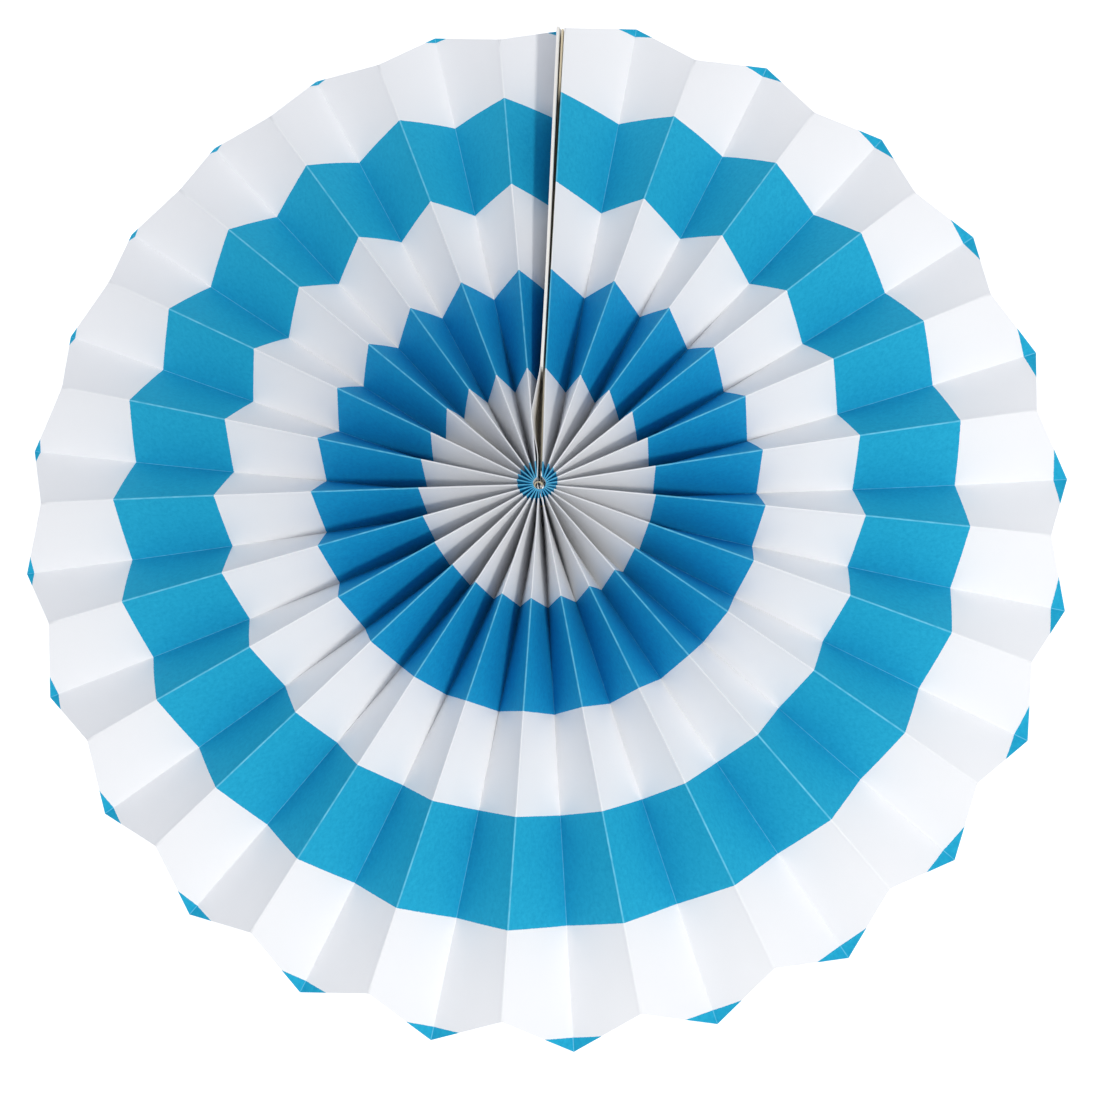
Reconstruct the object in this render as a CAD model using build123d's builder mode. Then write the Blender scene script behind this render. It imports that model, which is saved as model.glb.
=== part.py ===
from build123d import *
import math
import os

# Paper fan medallion: a long strip of paper, pleated and opened into a full circle round a
# laced hub, its two ends backed by card strips that are taped together along the top radius.
# Frame: +Z up along the taped seam, +X to the right, the printed front faces -Y.
# Origin: the medallion's axis, at the middle of the pleats' depth at the hub.

# The pleated sheet
fan_radius = 200.0
fold_count = 50
hub_radius = 2.3
paper = 0.18
rim_depth = 11.1
tip_depth = 11.4
cone_slope_share = 0.0606
uneven_cos_shares = (-0.306, -0.350, -0.164)
uneven_sin_shares = (-0.369, -0.021, -0.141)
pressed_share = 0.75

# The end pleats, which stand up beside the seam
front_fold_rise = 6.3
back_fold_rise = 5.0
seam_drift = 1.0
edge_bulge = 2.9
bulge_start = 8.0

# The card strips and the tape between them
card = 0.8
tape = 0.1
right_card_start = 7.0
left_card_start = 44.0
right_card_recess = 0.6
right_card_inner_recess = 5.0
left_card_recess = 0.3
right_card_lean = 0.5
left_card_lean = 1.1
tape_width = 18.0
tape_start = 50.0
tape_end = 77.0

# The thread that draws the pleats together at the hub
thread = 0.7
pulled_thread = 0.6
thread_hole = 1.1
thread_ring_radius = 5.5
thread_sides = 6
knot = 1.5
knot_side = 0.7
knot_front = 10.6
knot_height = 0.5
loop_radius = 1.35
loop_side = 0.45
loop_front = 11.2
loop_drop = 0.3
loop_tilt = 15.0

# The hole for hanging, behind the fan in the right card strip
hang_hole = 4.0
hang_hole_drop = 9.0

overrun = 4.0
walk_steps = 60

# Places between the hub and the rim where the sheet's surface breaks into facets
bulge_station_shares = (0, 0.25, 0.5)
outer_station_shares = (0.33, 0.62, 0.85)

# The pitch of each pleat round the axis: pleats that are pulled flatter spread wider
last_fold = fold_count - 1
even_pitch = 360 / last_fold
even_chord = 2 * fan_radius * math.sin(math.radians(even_pitch / 2))
pleat_width = math.hypot(even_chord, rim_depth)
pitches = []
for pleat in range(last_fold):
    turn = 2 * math.pi * (pleat + 1 / 2) / fold_count
    slack_share = 1
    for order, (cos_share, sin_share) in enumerate(zip(uneven_cos_shares, uneven_sin_shares), 1):
        slack_share += cos_share * math.cos(order * turn) + sin_share * math.sin(order * turn)
    wide_chord = math.sqrt(even_chord**2 + rim_depth**2 * (1 - slack_share))
    pitches.append(2 * math.degrees(math.asin(wide_chord / (2 * fan_radius))))
closing_share = 360 / sum(pitches)
pitches = [pitch * closing_share for pitch in pitches]
fold_azimuths = [sum(pitches[:fold]) for fold in range(fold_count)]

# From the tape's middle to the middle of the paper glued on a card strip
stack_half = tape / 2 + card + paper / 2

# The strip is cut on a slant at each pleat's end, so the front folds are shorter
back_fold_length = fan_radius - hub_radius
front_fold_length = back_fold_length - tip_depth


def squeeze(radius):
    """Angle that the seam stack takes up on each side of straight up, at a radius."""
    return math.degrees(math.asin(stack_half / radius))


def chord_share(fold, radius):
    """A panel's width across the radius at a fold, as a share of its full width."""
    pitch = (pitches[max(fold - 1, 0)] + pitches[min(fold, last_fold - 1)]) / 2
    pitch *= 1 - squeeze(radius) / 180
    return min(2 * radius * math.sin(math.radians(pitch / 2)) / pleat_width, 1)


def fold_height(fold, radius):
    """Height of a fold towards the front: even folds are front folds, odd ones back folds."""
    half_depth = pleat_width * math.sqrt(1 - chord_share(fold, radius) ** 2) / 2
    side = 1 if fold % 2 == 0 else -1
    return side * half_depth - cone_slope_share * (radius - hub_radius)


def end_radius(fold, length):
    """Radius reached by going the length outwards along a fold from the hub."""
    radius = hub_radius
    step = length / walk_steps
    for _ in range(walk_steps):
        climb = fold_height(fold, radius + step) - fold_height(fold, radius)
        radius += step * math.cos(math.atan(climb / step))
    return radius


def stations(end):
    """Radii from the hub to a row's own end at which the sheet's rows have a point."""
    bulge_span = left_card_start - bulge_start
    outer_span = fan_radius - tip_depth - tape_end
    radii = [hub_radius]
    radii += [bulge_start + share * bulge_span for share in bulge_station_shares]
    radii += [left_card_start, tape_end]
    radii += [tape_end + share * outer_span for share in outer_station_shares]
    return radii + [end]


def fold_row(fold):
    """The front and back points along one fold of the sheet."""
    is_front = fold % 2 == 0
    end = end_radius(fold, front_fold_length if is_front else back_fold_length)
    front_points = []
    back_points = []
    for radius in stations(end):
        azimuth = math.radians(
            squeeze(radius) + fold_azimuths[fold] * (1 - squeeze(radius) / 180)
        )
        across = radius * math.sin(azimuth)
        up = radius * math.cos(azimuth)
        corner = paper / chord_share(fold, radius) - paper / 2
        corner = min(corner, pressed_share * pleat_width)
        depth = -fold_height(fold, radius)
        front_points.append(Vector(across, depth - (paper / 2 if is_front else corner), up))
        back_points.append(Vector(across, depth + (corner if is_front else paper / 2), up))
    return front_points, back_points


# The two end pleats stay flat: the slope of their folds from the hub to the rim
front_rim = end_radius(0, front_fold_length)
back_rim = end_radius(last_fold, back_fold_length)
hub_height = fold_height(0, hub_radius)
front_slope = (fold_height(0, front_rim) + front_fold_rise - hub_height) / (front_rim - hub_radius)
back_slope = (fold_height(last_fold, back_rim) - back_fold_rise + hub_height) / (
    back_rim - hub_radius
)


def front_seam_height(radius):
    """Height of the first fold, in front of the right card."""
    return hub_height + front_slope * (radius - hub_radius)


def back_seam_height(radius):
    """Height of the last fold, behind the left card."""
    return -hub_height + back_slope * (radius - hub_radius)


def slope_end(length, slope):
    """Radius reached by a straight fold of the length."""
    return hub_radius + length / math.hypot(1, slope)


def seam_place(radius):
    """Sideways place of the tape's middle: it drifts left up to where the left card starts."""
    drift_share = (radius - hub_radius) / (left_card_start - hub_radius)
    return -seam_drift * min(drift_share, 1)


def lean(radius, amount):
    """Sideways lean of a card strip beyond the tape."""
    return amount * max(radius - tape_end, 0) / (fan_radius - tape_end)


def right_paper(radius):
    """Sideways place of the right end pleat's middle."""
    return seam_place(radius) + stack_half


def left_paper(radius):
    """Sideways place of the left end pleat's middle, glued on the left card."""
    return seam_place(radius) - stack_half - lean(radius, left_card_lean)


def left_edge(radius):
    """The left end pleat's free edge, which bows out where no card backs it."""
    bulge_share = (radius - bulge_start) / (left_card_start - bulge_start)
    return left_paper(radius) - edge_bulge * math.sin(math.pi * min(max(bulge_share, 0), 1)) ** 2


def seam_row(end, place, height, side):
    """The points of an end pleat's front fold (side 1), back fold (-1) or free edge (0)."""
    front_points = []
    back_points = []
    for radius in stations(end):
        corner = paper / (2 * math.tan(math.asin(chord_share(0, radius)) / 2))
        corner = min(corner, pressed_share * pleat_width)
        front_reach = {1: paper / 2, -1: corner, 0: 0}[side]
        back_reach = {1: corner, -1: paper / 2, 0: 0}[side]
        depth = -height(radius)
        across = place(radius)
        front_points.append(Vector(across - paper / 2, depth - front_reach, radius))
        back_points.append(Vector(across + paper / 2, depth + back_reach, radius))
    return front_points, back_points


def facets(*corners):
    """Two flat triangles that fill four corners."""
    first, second, third, fourth = corners
    return [
        Face(Wire.make_polygon([first, second, third], close=True)),
        Face(Wire.make_polygon([first, third, fourth], close=True)),
    ]


right_front_end = slope_end(front_fold_length, front_slope)
right_back_end = slope_end(back_fold_length, front_slope)
left_front_end = slope_end(front_fold_length, back_slope)
left_back_end = slope_end(back_fold_length, back_slope)
rows = [
    seam_row(right_back_end, right_paper, lambda radius: front_seam_height(radius) - pleat_width, 0),
    seam_row(right_front_end, right_paper, front_seam_height, 1),
]
rows += [fold_row(fold) for fold in range(1, last_fold)]
rows += [
    seam_row(left_back_end, left_paper, back_seam_height, -1),
    seam_row(left_front_end, left_edge, lambda radius: back_seam_height(radius) + pleat_width, 0),
]

# The sheet's front and back surfaces, its inner and outer cut ends, and its two free edges
sheet_facets = []
for (front, back), (next_front, next_back) in zip(rows, rows[1:]):
    for i, j in zip(range(len(front)), range(1, len(front))):
        sheet_facets += facets(front[i], front[j], next_front[j], next_front[i])
        sheet_facets += facets(back[i], next_back[i], next_back[j], back[j])
    sheet_facets += facets(front[0], next_front[0], next_back[0], back[0])
    sheet_facets += facets(front[-1], back[-1], next_back[-1], next_front[-1])
for (front, back), is_first in ((rows[0], True), (rows[-1], False)):
    for i, j in zip(range(len(front)), range(1, len(front))):
        corners = (front[i], back[i], back[j], front[j])
        sheet_facets += facets(*(corners if is_first else reversed(corners)))
sheet = Solid(Shell(sheet_facets))

# The hanging hole's place: near the rim, where the right card stands out behind the left one
hole_up = right_back_end - hang_hole_drop
hole_front = -back_seam_height(hole_up)
hole_back = pleat_width - front_seam_height(hole_up)
paper_face = right_paper(hole_up) + paper / 2
card_face = seam_place(hole_up) + tape / 2 - lean(hole_up, right_card_lean)
hole_plane = Plane(
    origin=((paper_face + card_face) / 2, (hole_front + hole_back) / 2, hole_up),
    x_dir=(0, 1, 0),
    z_dir=(1, 0, 0),
)
hole_reach = stack_half + overrun

with BuildPart() as pleated_paper:
    add(sheet)
    with BuildSketch(Plane.XY):
        with Locations((thread_ring_radius, 0)):
            RegularPolygon(thread_hole / 2, thread_sides)
    revolve(axis=Axis.Y, mode=Mode.SUBTRACT)
    with BuildSketch(hole_plane):
        Circle(hang_hole / 2)
    extrude(amount=hole_reach, both=True, mode=Mode.SUBTRACT)


def card_plan(start, inner_side, outer_side, amount):
    """Points of a card strip's plan: straight along the tape, then leaning to the rim."""
    low = [(seam_place(start), start), (seam_place(left_card_start), left_card_start)]
    low = low if start < left_card_start else low[1:]
    far = fan_radius + overrun
    path = low + [(seam_place(tape_end), tape_end), (seam_place(far) - lean(far, amount), far)]
    inner = [(place + inner_side, radius) for place, radius in path]
    outer = [(place + outer_side, radius) for place, radius in path]
    return inner + outer[::-1]


plan_plane = Plane(origin=(0, 0, 0), x_dir=(1, 0, 0), z_dir=(0, -1, 0))
side_plane = Plane(origin=(0, 0, 0), x_dir=(0, 1, 0), z_dir=(1, 0, 0))

with BuildPart() as right_card_strip:
    with BuildSketch(plan_plane):
        Polygon(*card_plan(right_card_start, tape / 2, tape / 2 + card, right_card_lean), align=None)
    extrude(amount=2 * pleat_width, both=True)
    with BuildSketch(side_plane):
        with BuildLine():
            Polyline(
                (right_card_inner_recess - front_seam_height(right_card_start), right_card_start),
                (right_card_recess - front_seam_height(right_front_end), right_front_end),
                (pleat_width - front_seam_height(right_back_end), right_back_end),
                (pleat_width - front_seam_height(right_card_start), right_card_start),
                close=True,
            )
        make_face()
    extrude(amount=fan_radius, both=True, mode=Mode.INTERSECT)
    with BuildSketch(hole_plane):
        Circle(hang_hole / 2)
    extrude(amount=hole_reach, both=True, mode=Mode.SUBTRACT)

with BuildPart() as left_card_strip:
    with BuildSketch(plan_plane):
        Polygon(*card_plan(left_card_start, -tape / 2, -tape / 2 - card, left_card_lean), align=None)
    extrude(amount=2 * pleat_width, both=True)
    with BuildSketch(side_plane):
        with BuildLine():
            Polyline(
                (-back_seam_height(left_card_start), left_card_start),
                (-back_seam_height(left_back_end), left_back_end),
                (left_card_recess - pleat_width - back_seam_height(left_front_end), left_front_end),
                (left_card_recess - pleat_width - back_seam_height(left_card_start), left_card_start),
                close=True,
            )
        make_face()
    extrude(amount=fan_radius, both=True, mode=Mode.INTERSECT)

with BuildPart() as seam_tape:
    tape_middle = (tape_start + tape_end) / 2
    tape_height = (front_seam_height(tape_middle) + back_seam_height(tape_middle)) / 2
    with Locations((-seam_drift, -tape_height, tape_middle)):
        Box(tape, tape_width, tape_end - tape_start)

# The thread: a ring through the holes of every pleat, drawn out through the open seam to a
# knot in the mouth of the centre hole, with a small loop left standing beside it
knot_middle = Vector(knot_side, -knot_front, knot_height)
loop_middle = Vector(-loop_side, -loop_front, -loop_drop)
loop_up = Vector(0, 0, 1).rotate(Axis.X, loop_tilt)
loop_axis = Vector(0, -1, 0).rotate(Axis.X, loop_tilt)
ring_top = Vector(0, 0, thread_ring_radius)
with BuildPart() as binding_thread:
    with BuildSketch(Plane.XY):
        with Locations((thread_ring_radius, 0)):
            RegularPolygon(thread / 2, thread_sides)
    revolve(axis=Axis.Y)
    with Locations(knot_middle):
        Sphere(knot / 2)
    with BuildSketch(Plane(origin=loop_middle, x_dir=(1, 0, 0), z_dir=loop_up)):
        with Locations((loop_radius, 0)):
            RegularPolygon(pulled_thread / 2, thread_sides)
    revolve(axis=Axis(loop_middle, loop_axis))
    with BuildSketch(Plane(origin=ring_top, z_dir=knot_middle - ring_top)):
        Circle(pulled_thread / 2)
    extrude(amount=(knot_middle - ring_top).length)

os.makedirs("parts", exist_ok=True)
pleated_paper.part.label = "pleated_paper"
right_card_strip.part.label = "right_card_strip"
left_card_strip.part.label = "left_card_strip"
seam_tape.part.label = "seam_tape"
binding_thread.part.label = "binding_thread"
export_step(pleated_paper.part, "parts/pleated_paper.step")
export_step(right_card_strip.part, "parts/right_card_strip.step")
export_step(left_card_strip.part, "parts/left_card_strip.step")
export_step(seam_tape.part, "parts/seam_tape.step")
export_step(binding_thread.part, "parts/binding_thread.step")

print("pleat width", round(pleat_width, 2))
print("hanging hole at", [round(value, 3) for value in hole_plane.origin])
print("hanging hole's wall from", round(card_face, 3), "to", round(paper_face, 3))
print("end pleats reach", round(right_front_end, 2), round(right_back_end, 2))
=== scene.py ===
import math

import bmesh
import bpy
from mathutils import Matrix, Vector, noise


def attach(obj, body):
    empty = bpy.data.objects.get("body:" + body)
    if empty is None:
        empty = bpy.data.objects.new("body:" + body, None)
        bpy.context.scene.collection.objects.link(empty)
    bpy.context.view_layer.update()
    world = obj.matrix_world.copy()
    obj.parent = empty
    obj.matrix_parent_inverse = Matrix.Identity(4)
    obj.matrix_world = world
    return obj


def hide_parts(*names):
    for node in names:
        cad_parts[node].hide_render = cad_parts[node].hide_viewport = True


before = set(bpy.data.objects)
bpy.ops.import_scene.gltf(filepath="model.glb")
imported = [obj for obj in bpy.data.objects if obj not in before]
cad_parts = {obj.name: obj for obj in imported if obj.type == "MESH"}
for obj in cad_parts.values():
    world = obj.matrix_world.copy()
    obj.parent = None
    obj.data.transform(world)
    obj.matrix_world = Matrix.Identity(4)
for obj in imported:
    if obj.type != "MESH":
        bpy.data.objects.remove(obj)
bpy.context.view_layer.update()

# The folded sheet: one long strip of uncoated paper, offset-printed with blue bands on its
# front, scored and folded like an accordion, then opened into a full circle round a laced hub.
# It is made here in the same order: a flat strip, its thickness, its folds.
mm = 0.001
fan_radius = 200.0
fold_count = 50
last_fold = fold_count - 1
hub_radius = 2.3
paper = 0.18
rim_depth = 11.1
tip_depth = 11.4
cone_slope = 0.0606
# How unevenly the pleats are pulled open round the fan, as three waves
uneven_cos = (-0.306, -0.350, -0.164)
uneven_sin = (-0.369, -0.021, -0.141)
front_fold_rise = 6.3
back_fold_rise = 5.0
seam_drift = 1.0
edge_bulge = 2.9
bulge_start = 8.0
card = 0.8
tape = 0.1
left_card_start = 44.0
left_card_lean = 1.1
tape_end = 77.0
stack_half = tape / 2 + card + paper / 2
back_fold_length = fan_radius - hub_radius
front_fold_length = back_fold_length - tip_depth
# A folded edge is puffed out a little, and each panel is bowed slightly in its own way
fold_puff = 0.19
fold_puff_reach = 0.8
panel_bow = 0.35
bow_waves = 2.0
bow_spread = 1.7
bow_start = 4.0
walk_step = 1.5

even_chord = 2 * fan_radius * math.sin(math.pi / last_fold)
pleat_width = math.hypot(even_chord, rim_depth)
pitches = []
for pleat in range(last_fold):
    turn = 2 * math.pi * (pleat + 0.5) / fold_count
    slack = 1.0
    for order in range(3):
        slack += uneven_cos[order] * math.cos((order + 1) * turn)
        slack += uneven_sin[order] * math.sin((order + 1) * turn)
    chord = math.sqrt(even_chord**2 + rim_depth**2 * (1 - slack))
    pitches.append(2 * math.asin(chord / (2 * fan_radius)))
closing = 2 * math.pi / sum(pitches)
pitches = [pitch * closing for pitch in pitches]
fold_azimuths = [sum(pitches[:fold]) for fold in range(fold_count)]


def squeeze(radius):
    """Half of the angle that the seam's card and tape take from the pleats at a radius."""
    return math.asin(stack_half / radius)


def chord_share(fold, radius):
    """How far a panel is opened: its width round the fan as a share of its whole width."""
    pitch = (pitches[max(fold - 1, 0)] + pitches[min(fold, last_fold - 1)]) / 2
    pitch *= 1 - squeeze(radius) / math.pi
    return min(2 * radius * math.sin(pitch / 2) / pleat_width, 1)


def fold_height(fold, radius):
    """How far in front of the hub's middle a fold lies, less the fan's slope to the rim."""
    half_depth = pleat_width * math.sqrt(1 - chord_share(fold, radius) ** 2) / 2
    side = 1 if fold % 2 == 0 else -1
    return side * half_depth - cone_slope * (radius - hub_radius)


def fold_line(fold, lengths):
    """Points of the paper's mid-surface along one fold, at lengths measured from the hub."""
    points = []
    radius = hub_radius
    gone = 0.0
    for length in lengths:
        steps = max(1, math.ceil((length - gone) / walk_step))
        step = (length - gone) / steps
        for _ in range(steps):
            if step > 0:
                climb = fold_height(fold, radius + step) - fold_height(fold, radius)
                radius += step * math.cos(math.atan(climb / step))
        gone = length
        azimuth = squeeze(radius) + fold_azimuths[fold] * (1 - squeeze(radius) / math.pi)
        across = radius * math.sin(azimuth)
        points.append(Vector((across, -fold_height(fold, radius), radius * math.cos(azimuth))))
    return points


def seam_place(radius):
    """How far to the left the seam's middle lies: it drifts outwards until the left card starts."""
    return -seam_drift * min((radius - hub_radius) / (left_card_start - hub_radius), 1)


def left_lean(radius):
    """How far the left end pleat leans off the right one, past the end of the tape."""
    return left_card_lean * max(radius - tape_end, 0) / (fan_radius - tape_end)


def left_bulge(radius):
    """How far the left free edge bows out before its card starts, straight in its outer half."""
    share = min(max((radius - bulge_start) / (left_card_start - bulge_start), 0), 1)
    if share > 0.5:
        return edge_bulge * 2 * (1 - share)
    return edge_bulge * math.sin(math.pi * share) ** 2


def seam_line(lengths, slope, start_height, side, bulging):
    """Points along an end pleat's straight fold or free edge beside the seam."""
    points = []
    for length in lengths:
        radius = hub_radius + length / math.hypot(1, slope)
        across = seam_place(radius) + side * stack_half
        if side < 0:
            across -= left_lean(radius)
        if bulging:
            across -= left_bulge(radius)
        points.append(Vector((across, -start_height - slope * (radius - hub_radius), radius)))
    return points


row_count = 54
row_crowding = 1.25
row_shares = [(row / row_count) ** row_crowding for row in range(row_count + 1)]
front_lengths = [share * front_fold_length for share in row_shares]
back_lengths = [share * back_fold_length for share in row_shares]
hub_height = fold_height(0, hub_radius)
front_rim = -fold_line(0, [front_fold_length])[0].y + front_fold_rise
back_rim = -fold_line(last_fold, [back_fold_length])[0].y - back_fold_rise
front_slope = (front_rim - hub_height) / (fold_line(0, [front_fold_length])[0].z - hub_radius)
back_slope = (back_rim + hub_height) / (fold_line(last_fold, [back_fold_length])[0].z - hub_radius)

lines = [seam_line(back_lengths, front_slope, hub_height - pleat_width, 1, False)]
lines += [seam_line(front_lengths, front_slope, hub_height, 1, False)]
lines += [fold_line(fold, back_lengths if fold % 2 else front_lengths) for fold in range(1, last_fold)]
lines += [seam_line(back_lengths, back_slope, -hub_height, -1, False)]

# The left free edge ends short, where its corner is snipped off
corner_snip = 4.8
edge_lengths = [share * (front_fold_length - corner_snip) for share in row_shares]
lines += [seam_line(edge_lengths, back_slope, pleat_width - hub_height, -1, True)]
line_lengths = [back_lengths if line % 2 == 0 else front_lengths for line in range(len(lines) - 1)]
line_lengths.append(edge_lengths)

# Columns of the flat strip's mesh across one panel, closest together beside its folds
column_shares = (0.0, 0.006, 0.02, 0.06, 0.25, 0.5, 0.75, 0.94, 0.98, 0.994)
panel_count = len(lines) - 1
column_count = panel_count * len(column_shares)


# The strip was folded a little askew, so its print lies nearer the hub on some folds than on others
print_askew_cos = (1.217, -0.10)
print_askew_sin = (-1.123, 0.09)
rim_band_shift = 1.32
rim_band_cos = (0.29, -0.11)
rim_band_sin = (0.34, 0.46)
rim_band_start = 165
rim_band_run = 15


def two_waves(line, cos_parts, sin_parts):
    """The sum of a wave round the fan and one twice as short, on one fold."""
    turn = 2 * math.pi * (line - 1) / fold_count
    wave = cos_parts[0] * math.cos(turn) + sin_parts[0] * math.sin(turn)
    return wave + cos_parts[1] * math.cos(2 * turn) + sin_parts[1] * math.sin(2 * turn)


def print_shift(line):
    """How far the printed bands sit from the hub on one fold."""
    return two_waves(line, print_askew_cos, print_askew_sin)


def rim_shift(line, length):
    """How much deeper the rim's blue band is printed, which shows as the blue tips."""
    deeper = rim_band_shift + two_waves(line, rim_band_cos, rim_band_sin)
    return deeper * min(max((length - rim_band_start) / rim_band_run, 0), 1)


widest_run = 0.4


def corner_run(line, row):
    """Length that a fold's inner corner takes from its panels, and the way into that corner."""
    here = lines[line][row]
    before = (lines[line - 1][row] - here).normalized()
    after = (lines[line + 1][row] - here).normalized()
    half_angle = before.angle(after) / 2
    run = min(paper / 2 / math.tan(half_angle), widest_run * pleat_width)
    return run, (before + after).normalized(), run / math.cos(half_angle)


corners = {}
for line in range(1, panel_count):
    for row in range(row_count + 1):
        corners[line, row] = corner_run(line, row)


def folded_place(column, row, side):
    """Where a point of the flat strip's front (side 1) or back (side -1) goes when folded."""
    panel, step = divmod(column, len(column_shares))
    share = column_shares[step]
    if panel == panel_count:
        panel, share = panel - 1, 1.0
    start, end = lines[panel][row], lines[panel + 1][row]
    across = end - start
    width = across.length
    low, high = max(row - 1, 0), min(row + 1, row_count)
    along = lines[panel][high] - lines[panel][low] + lines[panel + 1][high] - lines[panel + 1][low]
    normal = across.cross(along).normalized() * side
    is_fold = share == 0.0 and panel > 0
    outer_start = (panel % 2 == 1) == (side > 0)
    if is_fold:
        run, inward, depth = corners[panel, row]
        if outer_start:
            return start - inward * (paper / 2 + fold_puff)
        return start + inward * depth
    start_run = 0.0
    end_run = 0.0
    if panel > 0 and not outer_start:
        start_run = corners[panel, row][0]
    if panel + 1 < panel_count and outer_start:
        end_run = corners[panel + 1, row][0]
    distance = start_run + share * (width - start_run - end_run)
    thick = paper / 2
    if panel > 0 and outer_start:
        thick += fold_puff * math.exp(-((distance / fold_puff_reach) ** 2))
    if panel + 1 < panel_count and not outer_start:
        thick += fold_puff * math.exp(-(((width - distance) / fold_puff_reach) ** 2))
    bow = panel_bow * math.sin(math.pi * share) * noise.noise(
        Vector((panel * bow_spread, row_shares[row] * bow_waves, bow_start))
    )
    if panel in (0, panel_count - 1):
        bow = 0.0
    return start + across * (distance / width) + normal * (thick + side * bow)


sheet_mesh = bmesh.new()
bmesh.ops.create_grid(sheet_mesh, x_segments=column_count, y_segments=row_count, size=1.0)
flat_faces = list(sheet_mesh.faces)
thickened = bmesh.ops.extrude_face_region(sheet_mesh, geom=flat_faces, use_keep_orig=True)
raised = [item for item in thickened["geom"] if isinstance(item, bmesh.types.BMVert)]
bmesh.ops.translate(sheet_mesh, verts=raised, vec=(0, 0, 1))
bmesh.ops.recalc_face_normals(sheet_mesh, faces=sheet_mesh.faces)
strip = sheet_mesh.loops.layers.uv.new("strip")
for face in sheet_mesh.faces:
    face.smooth = True
    face.material_index = 0 if face.normal.z > 0.5 else 1
    for loop in face.loops:
        column = round((loop.vert.co.x + 1) / 2 * column_count)
        row = round((loop.vert.co.y + 1) / 2 * row_count)
        panel, step = divmod(column, len(column_shares))
        share = column_shares[step]
        near = min(panel + 1, panel_count)
        length = line_lengths[panel][row] * (1 - share) + line_lengths[near][row] * share
        shift = (print_shift(panel) - rim_shift(panel, length)) * (1 - share)
        shift += (print_shift(near) - rim_shift(near, length)) * share
        loop[strip].uv = ((panel + share) * pleat_width * mm, (length - shift) * mm)
for vert in sheet_mesh.verts:
    column = round((vert.co.x + 1) / 2 * column_count)
    row = round((vert.co.y + 1) / 2 * row_count)
    vert.co = folded_place(column, row, 1 if vert.co.z > 0.5 else -1) * mm

# The hanging hole is punched last, through the first panel, where the right card lies behind it
hang_hole_height = 190.46
hang_hole_place = Vector((-0.69, 24.0, hang_hole_height)) * mm
hang_hole_radius = 2.0 * mm
punch_sides = 24
punch_reach = 14 * mm
punch_tolerance = 0.0001 * mm
panel_middle = (seam_place(hang_hole_height) + stack_half) * mm


def punched_faces(reach):
    """Faces of the first panel whose middle lies within a reach of the hole's middle."""
    found = []
    for face in sheet_mesh.faces:
        middle = face.calc_center_median()
        away = middle - hang_hole_place
        if abs(middle.x - panel_middle) < paper * mm and math.hypot(away.y, away.z) < reach:
            found.append(face)
    return found


for side in range(punch_sides):
    turn = math.tau * side / punch_sides
    outwards = Vector((0, math.cos(turn), math.sin(turn)))
    around = punched_faces(punch_reach)
    edges = list({edge for face in around for edge in face.edges})
    verts = list({vert for face in around for vert in face.verts})
    bmesh.ops.bisect_plane(
        sheet_mesh,
        geom=verts + edges + around,
        dist=punch_tolerance,
        plane_co=hang_hole_place + outwards * hang_hole_radius,
        plane_no=outwards,
    )
bmesh.ops.delete(sheet_mesh, geom=punched_faces(hang_hole_radius), context="FACES")
rim_edges = [edge for edge in sheet_mesh.edges if edge.is_boundary]
wall = bmesh.ops.bridge_loops(sheet_mesh, edges=rim_edges)["faces"]
for face in wall:
    face.material_index = 1
bmesh.ops.recalc_face_normals(sheet_mesh, faces=sheet_mesh.faces)
sharp_angle = math.radians(75)
folded = bpy.data.meshes.new("folded_sheet")
sheet_mesh.to_mesh(folded)
sheet_mesh.free()
folded.set_sharp_from_angle(angle=sharp_angle)
folded_sheet = bpy.data.objects.new("folded_sheet", folded)
bpy.context.scene.collection.objects.link(folded_sheet)


def linear(hex_colour):
    """An sRGB hex colour as linear RGBA."""
    channels = [int(hex_colour[i : i + 2], 16) / 255 for i in (1, 3, 5)]
    low = [c / 12.92 if c <= 0.04045 else ((c + 0.055) / 1.055) ** 2.4 for c in channels]
    return (*low, 1.0)


def add(material, kind, settings={}, **links):
    """Adds a node with its settings. Its inputs, named or given as i and a number, take a
    value or a link from another node's socket."""
    node = material.node_tree.nodes.new(kind)
    for name, value in settings.items():
        setattr(node, name, value)
    for name, value in links.items():
        key = int(name[1:]) if name[0] == "i" and name[1:].isdigit() else name.replace("_", " ")
        if isinstance(value, bpy.types.NodeSocket):
            material.node_tree.links.new(value, node.inputs[key])
        else:
            node.inputs[key].default_value = value
    return node


def new_material(name):
    """An empty material of a name."""
    material = bpy.data.materials.new(name)
    material.use_nodes = True
    material.node_tree.nodes.clear()
    return material


# Uncoated offset paper: matt and slightly fibrous. The ink sits thin in it, so the blue is a
# little mottled and its bands have ragged edges; near the hub it is drawn darker, as painted shade of
# the deep pleats there, and it is cracked to a pale thin line along every fold.
ring_edges = (4.6, 40.35, 79.8, 116.5, 155.7, 194.8)
rim_ink_deep = "#0B95C2"
rim_ink_thin = "#26B7DA"
fold_cyan = "#72CCE8"
# The hub's darker blue is painted shade of the deep pleats near the hub
hub_shaded_ink_deep = "#0386C1"
hub_shaded_ink_thin = "#14ACDC"
shaded_hub_reach = 98 * mm
paper_white = "#F2F3F5"
ramp_length = 200 * mm
# Ink creeps along fibres by about 0.1 mm, drawn 0.3 mm, and its mottling is about 1.5 mm wide
ragged_size = 0.7 * mm
ragged_reach = 0.3 * mm
mottle_size = 1.5 * mm
# The ink is cracked off in a line about 0.5 mm wide along a fold, more or less so every 3 mm or so
rub_patch_size = 3.3 * mm
rub_outer = 0.28 * mm
rub_inner = 0.06 * mm
# Paper fibres are about 0.03 mm wide, too fine to show, so they are drawn 0.55 mm wide
fibre_size = 0.55 * mm
fibre_height = 0.2 * mm

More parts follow.
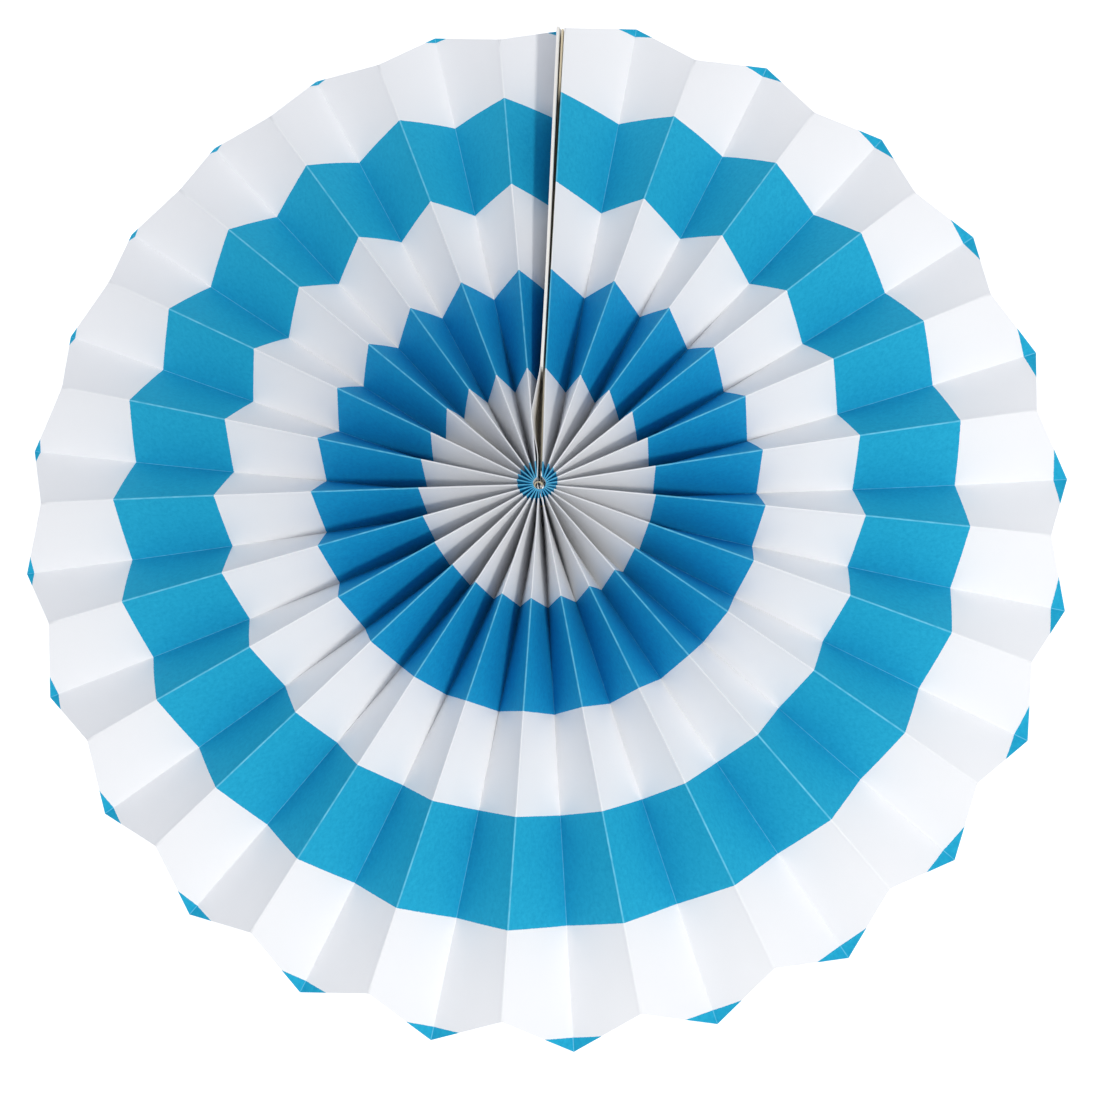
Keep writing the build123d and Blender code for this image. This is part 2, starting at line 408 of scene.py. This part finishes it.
printed = new_material("offset_printed_paper")
place = add(printed, "ShaderNodeUVMap", {"uv_map": "strip"})
split = add(printed, "ShaderNodeSeparateXYZ", i0=place.outputs[0])
grain = add(printed, "ShaderNodeTexCoord")
spot = grain.outputs["Object"]
ragged = add(printed, "ShaderNodeTexNoise", Vector=spot, Scale=1 / ragged_size, Detail=2.0)
nudge = add(
    printed,
    "ShaderNodeMath",
    {"operation": "MULTIPLY_ADD"},
    i0=ragged.outputs[0],
    i1=ragged_reach,
    i2=-ragged_reach / 2,
)
along = add(printed, "ShaderNodeMath", {"operation": "ADD"}, i0=split.outputs[1], i1=nudge.outputs[0])
share = add(printed, "ShaderNodeMath", {"operation": "DIVIDE"}, i0=along.outputs[0], i1=ramp_length)
rings = add(printed, "ShaderNodeValToRGB", Fac=share.outputs[0])
rings.color_ramp.interpolation = "CONSTANT"
rings.color_ramp.elements.remove(rings.color_ramp.elements[1])
rings.color_ramp.elements[0].color = (1, 1, 1, 1)
for number, edge in enumerate(ring_edges):
    stop = rings.color_ramp.elements.new(edge * mm / ramp_length)
    stop.color = (0, 0, 0, 1) if number % 2 == 0 else (1, 1, 1, 1)
blotches = add(
    printed,
    "ShaderNodeTexNoise",
    Vector=spot,
    Scale=1 / mottle_size,
    Detail=4.0,
    Roughness=0.7,
)
mottle = add(printed, "ShaderNodeMapRange", Value=blotches.outputs[0], i1=0.1, i2=0.9)
rim_ink = add(
    printed,
    "ShaderNodeMix",
    {"data_type": "RGBA"},
    i0=mottle.outputs[0],
    i6=linear(rim_ink_deep),
    i7=linear(rim_ink_thin),
)
hub_shaded_ink = add(
    printed,
    "ShaderNodeMix",
    {"data_type": "RGBA"},
    i0=mottle.outputs[0],
    i6=linear(hub_shaded_ink_deep),
    i7=linear(hub_shaded_ink_thin),
)
# Painted shade: the darker blue is used within 98 mm of the hub along the strip
is_shaded_hub = add(
    printed, "ShaderNodeMath", {"operation": "LESS_THAN"}, i0=split.outputs[1], i1=shaded_hub_reach
)
ink = add(
    printed,
    "ShaderNodeMix",
    {"data_type": "RGBA"},
    i0=is_shaded_hub.outputs[0],
    i6=rim_ink.outputs[2],
    i7=hub_shaded_ink.outputs[2],
)
from_fold = add(
    printed,
    "ShaderNodeMath",
    {"operation": "PINGPONG"},
    i0=split.outputs[0],
    i1=pleat_width * mm / 2,
)
worn = add(
    printed,
    "ShaderNodeMapRange",
    Value=from_fold.outputs[0],
    i1=rub_outer,
    i2=rub_inner,
)
patchy = add(printed, "ShaderNodeTexNoise", Vector=spot, Scale=1 / rub_patch_size, Detail=3.0)
patches = add(printed, "ShaderNodeMapRange", Value=patchy.outputs[0], i1=0.3, i2=0.6, i3=0.4, i4=0.9)
rubbed = add(
    printed, "ShaderNodeMath", {"operation": "MULTIPLY"}, i0=worn.outputs[0], i1=patches.outputs[0]
)
rubbed_ink = add(
    printed,
    "ShaderNodeMix",
    {"data_type": "RGBA"},
    i0=rubbed.outputs[0],
    i6=ink.outputs[2],
    i7=linear(fold_cyan),
)
face_colour = add(
    printed,
    "ShaderNodeMix",
    {"data_type": "RGBA"},
    i0=rings.outputs[0],
    i6=linear(paper_white),
    i7=rubbed_ink.outputs[2],
)
fibres = add(printed, "ShaderNodeTexNoise", Vector=spot, Scale=1 / fibre_size, Detail=3.0)
relief = add(printed, "ShaderNodeBump", Strength=0.12, Distance=fibre_height, Height=fibres.outputs[0])
skin = add(
    printed,
    "ShaderNodeBsdfPrincipled",
    Base_Color=face_colour.outputs[2],
    Roughness=0.78,
    IOR=1.3,
    Normal=relief.outputs[0],
)
add(printed, "ShaderNodeOutputMaterial", Surface=skin.outputs[0])

# The same paper's bare back: matt, softly clouded where the fibres lie thicker, in clouds of
# about 11 mm
back_grey = "#E9E9EA"
back_white = "#F4F4F3"
cloud_size = 11.0 * mm
plain = new_material("uncoated_paper_back")
grain = add(plain, "ShaderNodeTexCoord")
spot = grain.outputs["Object"]
fibres = add(plain, "ShaderNodeTexNoise", Vector=spot, Scale=1 / fibre_size, Detail=3.0)
clouds = add(plain, "ShaderNodeTexNoise", Vector=spot, Scale=1 / cloud_size, Detail=3.0)
tone = add(
    plain,
    "ShaderNodeMix",
    {"data_type": "RGBA"},
    i0=clouds.outputs[0],
    i6=linear(back_grey),
    i7=linear(back_white),
)
relief = add(plain, "ShaderNodeBump", Strength=0.12, Distance=fibre_height, Height=fibres.outputs[0])
skin = add(
    plain,
    "ShaderNodeBsdfPrincipled",
    Base_Color=tone.outputs[2],
    Roughness=0.85,
    Normal=relief.outputs[0],
)
add(plain, "ShaderNodeOutputMaterial", Surface=skin.outputs[0])

folded.materials.append(printed)
folded.materials.append(plain)
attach(folded_sheet, "root")
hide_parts("pleated_paper")

# The card strips: pressed board between cream faces, guillotined to the pleats' width and glued on
# the two end pleats. Only their cut edges show, as thin lines in the seam. The left strip's front
# corner is snipped off together with its paper, so that it doesn't stand above the rim.
# The board is pressed from plies about 0.1 mm thick, whose fibres run on for about 16 mm
ply_thickness = 0.11 * mm
ply_length = 16.0 * mm
ply_height = 0.2 * mm


def pressed_board(name, shade, face):
    """Cut board: matt, with the thin plies that were pressed together showing on its edge."""
    board = new_material(name)
    grain = add(board, "ShaderNodeTexCoord")
    scales = (1 / ply_thickness, 1 / ply_length, 1 / ply_length)
    plies = add(board, "ShaderNodeMapping", i3=scales, Vector=grain.outputs["Object"])
    layers = add(board, "ShaderNodeTexNoise", Vector=plies.outputs[0], Scale=1.0, Detail=2.0)
    tone = add(
        board,
        "ShaderNodeMix",
        {"data_type": "RGBA"},
        i0=layers.outputs[0],
        i6=linear(shade),
        i7=linear(face),
    )
    relief = add(board, "ShaderNodeBump", Strength=0.2, Distance=ply_height, Height=layers.outputs[0])
    skin = add(
        board,
        "ShaderNodeBsdfPrincipled",
        Base_Color=tone.outputs[2],
        Roughness=0.9,
        Normal=relief.outputs[0],
    )
    add(board, "ShaderNodeOutputMaterial", Surface=skin.outputs[0])
    return board, tone, skin


# Cream board, whose front edge is painted dark as painted shade of the narrow slot between the strips: it
# shows as a dark line down the middle of the seam, cream near the rim and tan near the hub
cream_board, cream_tone, cream_skin = pressed_board("cream_pressed_board", "#C9B792", "#EBE2CC")
# Colour of the painted shade in the slot between the two card strips
slot_shade_brown = "#3A3427"
# The painted shade's ends and depth along the edge, in mm from the fan's middle
slot_shade_start = 46.0
slot_shade_end = 160.0
slot_shade_fade = 5.0
slot_shade_depth = 6.0
edge_place = add(cream_board, "ShaderNodeTexCoord")
edge_axes = add(cream_board, "ShaderNodeSeparateXYZ", i0=edge_place.outputs["Object"])
# Painted shade: the edge is darkened between 46 and 160 mm out, within 6 mm of its front, where it lies in
# the slot's shade
slot_shade_low = add(
    cream_board,
    "ShaderNodeMapRange",
    Value=edge_axes.outputs[2],
    i1=(slot_shade_start - slot_shade_fade) * mm,
    i2=(slot_shade_start + slot_shade_fade) * mm,
)
slot_shade_high = add(
    cream_board,
    "ShaderNodeMapRange",
    Value=edge_axes.outputs[2],
    i1=(slot_shade_end + slot_shade_fade) * mm,
    i2=(slot_shade_end - slot_shade_fade) * mm,
)
slot_shade_front = add(
    cream_board,
    "ShaderNodeMapRange",
    Value=edge_axes.outputs[1],
    i1=slot_shade_depth * mm,
    i2=0.0,
)
slot_shade_span = add(
    cream_board,
    "ShaderNodeMath",
    {"operation": "MULTIPLY"},
    i0=slot_shade_low.outputs[0],
    i1=slot_shade_high.outputs[0],
)
slot_shade_mask = add(
    cream_board,
    "ShaderNodeMath",
    {"operation": "MULTIPLY"},
    i0=slot_shade_span.outputs[0],
    i1=slot_shade_front.outputs[0],
)
painted_shade_tone = add(
    cream_board,
    "ShaderNodeMix",
    {"data_type": "RGBA"},
    i0=slot_shade_mask.outputs[0],
    i6=cream_tone.outputs[2],
    i7=linear(slot_shade_brown),
)
cream_board.node_tree.links.new(painted_shade_tone.outputs[2], cream_skin.inputs["Base Color"])
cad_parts["right_card_strip"].data.materials.clear()
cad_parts["right_card_strip"].data.materials.append(cream_board)

# The left strip's board is whiter, and its corner is cut along a line to the paper's own corner
white_board = pressed_board("white_pressed_board", "#E6E3DA", "#F6F4EF")[0]
weld_reach = 0.001 * mm
left_mesh = bmesh.new()
left_mesh.from_mesh(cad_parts["left_card_strip"].data)
bmesh.ops.remove_doubles(left_mesh, verts=left_mesh.verts, dist=weld_reach)
snip_place = Vector((0, lines[-1][-1].y, lines[-1][-1].z)) * mm
snip_back = Vector((0, lines[-2][-1].y, lines[-2][-1].z)) * mm
snip_along = snip_back - snip_place
snip_normal = Vector((0, -snip_along.z, snip_along.y)).normalized()
bmesh.ops.bisect_plane(
    left_mesh,
    geom=left_mesh.verts[:] + left_mesh.edges[:] + left_mesh.faces[:],
    dist=weld_reach,
    plane_co=snip_place,
    plane_no=snip_normal,
    clear_outer=True,
)
bmesh.ops.holes_fill(left_mesh, edges=left_mesh.edges)
left_data = bpy.data.meshes.new("snipped_left_card")
left_mesh.to_mesh(left_data)
left_mesh.free()
snipped_left_card = bpy.data.objects.new("snipped_left_card", left_data)
bpy.context.scene.collection.objects.link(snipped_left_card)
left_data.materials.append(white_board)
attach(snipped_left_card, "root")
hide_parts("left_card_strip")

# The seam tape: tissue coated with glue on both sides, pressed between the two card strips. It
# is the only thing that holds the fan's ends together.
# Coated tissue: white with faint fibres, and a little shinier than the paper from its glue. Its
# fibres are about 0.03 mm wide and several mm long, and are drawn 1.1 mm wide so that they show
tissue_fibre_size = 1.1 * mm
tissue_grey = "#E4E2DA"
tissue_white = "#F6F5F0"
tissue = new_material("double_sided_tissue_tape")
grain = add(tissue, "ShaderNodeTexCoord")
fibres = add(
    tissue,
    "ShaderNodeTexNoise",
    Vector=grain.outputs["Object"],
    Scale=1 / tissue_fibre_size,
    Detail=4.0,
)
tone = add(
    tissue,
    "ShaderNodeMix",
    {"data_type": "RGBA"},
    i0=fibres.outputs[0],
    i6=linear(tissue_grey),
    i7=linear(tissue_white),
)
skin = add(tissue, "ShaderNodeBsdfPrincipled", Base_Color=tone.outputs[2], Roughness=0.35)
add(tissue, "ShaderNodeOutputMaterial", Surface=skin.outputs[0])
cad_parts["seam_tape"].data.materials.clear()
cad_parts["seam_tape"].data.materials.append(tissue)

# The binding thread: two-ply cotton, laced round the hub through a hole in every pleat. It is
# drawn out through the open seam, knotted in the mouth of the centre hole, with a loop left over.
thread = 0.7
pulled_thread = 0.6
thread_ring_radius = 5.5
knot_middle = Vector((0.7, -10.6, 0.5))
knot_curl = 0.17
loop_middle = Vector((-0.45, -11.2, -0.3))
loop_radius = 1.35
loop_tilt = math.radians(15)
ply_sides = 7
ply_share = 0.29
twist_length = 1.7
twist_step = 0.17
measure_steps = 60
look_ahead = 0.01
side_hint = Vector((0.3, 1, 0.2))


def on_loop(angle):
    """A point of the small loop that leans over the knot."""
    up = Vector((0, -math.sin(loop_tilt), math.cos(loop_tilt)))
    return loop_middle + loop_radius * (Vector((math.cos(angle), 0, 0)) + up * math.sin(angle))


def on_ring(angle):
    """A point of the ring that runs through the pleats."""
    return thread_ring_radius * Vector((math.sin(angle), 0, math.cos(angle)))


def on_knot(angle):
    """A point of the knot, a single overhand turn pulled tight."""
    curl = Vector((
        math.sin(angle) + 2 * math.sin(2 * angle),
        -math.sin(3 * angle),
        math.cos(angle) - 2 * math.cos(2 * angle),
    ))
    return knot_middle + knot_curl * curl


def on_leg(angle):
    """A point of the straight thread from the ring to the knot."""
    return on_ring(0).lerp(knot_middle, angle / math.tau)


def lay_ply(mesh, line, width, is_closed, start_turn):
    """Extrudes one round ply along a line, winding about it once in each twist length."""
    rough = [line(math.tau * step / measure_steps) for step in range(measure_steps + 1)]
    length = sum((b - a).length for a, b in zip(rough, rough[1:]))
    step_count = round(length / twist_step)
    turns = round(length / twist_length)
    rim = bmesh.ops.create_circle(mesh, segments=ply_sides, radius=width * ply_share)["verts"]
    first_rim = rim
    placed = Matrix.Identity(4)
    for step in range(step_count + (0 if is_closed else 1)):
        angle = math.tau * step / step_count
        ahead = (line(angle + look_ahead) - line(angle - look_ahead)).normalized()
        sideways = ahead.cross(side_hint).normalized()
        upwards = sideways.cross(ahead)
        wind = start_turn + math.tau * turns * step / step_count
        offset = (sideways * math.cos(wind) + upwards * math.sin(wind)) * width * (0.5 - ply_share)
        frame_here = Matrix((sideways, upwards, ahead)).transposed().to_4x4()
        frame_here.translation = line(angle) + offset
        if step > 0:
            rim_edges = [edge for edge in mesh.edges if edge.is_valid and edge.tag]
            grown = bmesh.ops.extrude_edge_only(mesh, edges=rim_edges)["geom"]
            for edge in rim_edges:
                edge.tag = False
            rim = [item for item in grown if isinstance(item, bmesh.types.BMVert)]
        bmesh.ops.transform(mesh, matrix=frame_here @ placed.inverted(), verts=rim)
        placed = frame_here
        rim_set = set(rim)
        for vert in rim:
            for edge in vert.link_edges:
                if edge.other_vert(vert) in rim_set:
                    edge.tag = True
    last_edges = [edge for edge in mesh.edges if edge.tag]
    for edge in last_edges:
        edge.tag = False
    first_set = set(first_rim)
    first_edges = {e for v in first_rim for e in v.link_edges if e.other_vert(v) in first_set}
    if is_closed:
        bmesh.ops.bridge_loops(mesh, edges=last_edges + list(first_edges))
    else:
        bmesh.ops.contextual_create(mesh, geom=last_edges)
        bmesh.ops.contextual_create(mesh, geom=list(first_edges))


thread_mesh = bmesh.new()
for line, width, is_closed in (
    (on_ring, thread, True),
    (on_leg, pulled_thread, False),
    (on_loop, pulled_thread, True),
    (on_knot, pulled_thread, True),
):
    for start_turn in (0, math.pi):
        lay_ply(thread_mesh, line, width, is_closed, start_turn)
bmesh.ops.recalc_face_normals(thread_mesh, faces=thread_mesh.faces)
bmesh.ops.scale(thread_mesh, vec=(mm, mm, mm), verts=thread_mesh.verts)
for face in thread_mesh.faces:
    face.smooth = True
thread_data = bpy.data.meshes.new("laced_thread")
thread_mesh.to_mesh(thread_data)
thread_mesh.free()
laced_thread = bpy.data.objects.new("laced_thread", thread_data)
bpy.context.scene.collection.objects.link(laced_thread)

# Unbleached cotton: matt, cream, with fine hairs along its twist that break up its shine. The
# hairs are about 0.02 mm wide, too fine to show, so they are drawn 0.4 mm wide
cotton_hair_size = 0.4 * mm
cotton_hair_height = 0.05 * mm
cotton_tan = "#BFB08A"
cotton_cream = "#EEE6D0"
cotton = new_material("twisted_cotton_thread")
grain = add(cotton, "ShaderNodeTexCoord")
hairs = add(
    cotton,
    "ShaderNodeTexNoise",
    Vector=grain.outputs["Object"],
    Scale=1 / cotton_hair_size,
    Detail=3.0,
)
tone = add(
    cotton,
    "ShaderNodeMix",
    {"data_type": "RGBA"},
    i0=hairs.outputs[0],
    i6=linear(cotton_tan),
    i7=linear(cotton_cream),
)
relief = add(cotton, "ShaderNodeBump", Strength=0.4, Distance=cotton_hair_height, Height=hairs.outputs[0])
skin = add(
    cotton,
    "ShaderNodeBsdfPrincipled",
    Base_Color=tone.outputs[2],
    Roughness=0.95,
    Normal=relief.outputs[0],
)
add(cotton, "ShaderNodeOutputMaterial", Surface=skin.outputs[0])
thread_data.materials.append(cotton)
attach(laced_thread, "root")
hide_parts("binding_thread")

# The studio: a pale sweep of paper, laid as a floor and bent up behind the fan as a wall. It is
# the ground that the fan hangs before, and the camera sees it as white.
sweep_width = 3.0
sweep_length = 4.0
floor_level = -0.95
floor_front = 1.2
wall_distance = 0.9
sweep_bend = 0.4
floor_run = floor_front + wall_distance - sweep_bend
sweep_mesh = bmesh.new()
bmesh.ops.create_grid(sweep_mesh, x_segments=2, y_segments=24, size=1.0)
for vert in sweep_mesh.verts:
    run = (vert.co.y + 1) / 2 * sweep_length
    turn = min(max(run - floor_run, 0) / sweep_bend, math.pi / 2)
    rise = max(run - floor_run - sweep_bend * math.pi / 2, 0) + sweep_bend * (1 - math.cos(turn))
    depth = -floor_front + min(run, floor_run) + sweep_bend * math.sin(turn)
    vert.co = Vector((vert.co.x * sweep_width, depth, floor_level + rise))
sweep_data = bpy.data.meshes.new("studio_sweep")
sweep_mesh.to_mesh(sweep_data)
sweep_mesh.free()
sweep = bpy.data.objects.new("studio_sweep", sweep_data)
bpy.context.scene.collection.objects.link(sweep)
for polygon in sweep_data.polygons:
    polygon.use_smooth = True

# Matt white paper, which glows faintly to the camera and in reflections, so that it looks white
backdrop_grey = "#EDEDED"
backdrop_glow = 0.55
backdrop = new_material("white_studio_paper")
light_path = add(backdrop, "ShaderNodeLightPath")
matt = add(backdrop, "ShaderNodeBsdfDiffuse", Color=linear(backdrop_grey))
glossy = add(
    backdrop,
    "ShaderNodeMath",
    {"operation": "MAXIMUM"},
    i0=light_path.outputs["Is Camera Ray"],
    i1=light_path.outputs["Is Glossy Ray"],
)
seen = add(
    backdrop,
    "ShaderNodeMath",
    {"operation": "MAXIMUM"},
    i0=glossy.outputs[0],
    i1=light_path.outputs["Is Transmission Ray"],
)
lift = add(
    backdrop,
    "ShaderNodeMath",
    {"operation": "MULTIPLY"},
    i0=seen.outputs[0],
    i1=backdrop_glow,
)
glow = add(backdrop, "ShaderNodeEmission", Color=linear("#FFFFFF"), Strength=lift.outputs[0])
blend = add(backdrop, "ShaderNodeAddShader", i0=matt.outputs[0], i1=glow.outputs[0])
add(backdrop, "ShaderNodeOutputMaterial", Surface=blend.outputs[0])
sweep_data.materials.append(backdrop)

# The world is a soft, faintly blue light from all round, and plain white to the camera
world_blue = "#F4F7FF"
world_strength = 0.62
world = bpy.data.worlds.new("soft_studio")
bpy.context.scene.world = world
world.use_nodes = True
world.node_tree.nodes.clear()
light_path = add(world, "ShaderNodeLightPath")
glossy = add(
    world,
    "ShaderNodeMath",
    {"operation": "MAXIMUM"},
    i0=light_path.outputs["Is Camera Ray"],
    i1=light_path.outputs["Is Glossy Ray"],
)
seen = add(
    world,
    "ShaderNodeMath",
    {"operation": "MAXIMUM"},
    i0=glossy.outputs[0],
    i1=light_path.outputs["Is Transmission Ray"],
)
light_from_all_round = add(world, "ShaderNodeBackground", Color=linear(world_blue), Strength=world_strength)
white_all_round = add(world, "ShaderNodeBackground", Color=linear("#FFFFFF"), Strength=1.0)
either = add(
    world,
    "ShaderNodeMixShader",
    i0=seen.outputs[0],
    i1=light_from_all_round.outputs[0],
    i2=white_all_round.outputs[0],
)
add(world, "ShaderNodeOutputWorld", Surface=either.outputs[0])


def area_light(name, place, size, power, colour):
    """A round lamp that is aimed at the fan's hub."""
    data = bpy.data.lights.new(name, "AREA")
    data.shape = "DISK"
    data.size = size
    data.energy = power
    data.color = linear(colour)[:3]
    lamp = bpy.data.objects.new(name, data)
    lamp.location = place
    lamp.rotation_euler = (-Vector(place)).to_track_quat("-Z", "Y").to_euler()
    bpy.context.scene.collection.objects.link(lamp)


# A small lamp low on the right throws the pleats' shadows, and two wide ones soften them
area_light("key", (0.44, -1.10, -0.40), 0.12, 7.0, "#FFFDF8")
area_light("fill", (-0.50, -1.00, 0.80), 1.0, 0.8, "#F7FAFF")
area_light("back", (-0.55, 0.65, 0.75), 0.5, 3.5, "#FFFFFF")

# The camera stands as the photograph's did. Its focal length is given in the photograph's pixels
film_width = 36.0
photo_width = 1100
focal_length = 1250
camera_data = bpy.data.cameras.new("photo_camera")
camera_data.sensor_width = film_width
camera_data.lens = film_width * focal_length / photo_width
camera = bpy.data.objects.new("photo_camera", camera_data)
camera_place = Vector((0.02003, -0.45018, -0.10229))
camera_aim = Vector((0.00451, 0.0, -0.02169))
camera_roll = math.radians(-2.91)
look = (camera_aim - camera_place).to_track_quat("-Z", "Y").to_matrix().to_4x4()
camera.matrix_world = Matrix.Translation(camera_place) @ look @ Matrix.Rotation(-camera_roll, 4, "Z")
bpy.context.scene.collection.objects.link(camera)
bpy.context.scene.camera = camera
bpy.context.scene.view_settings.view_transform = "Standard"
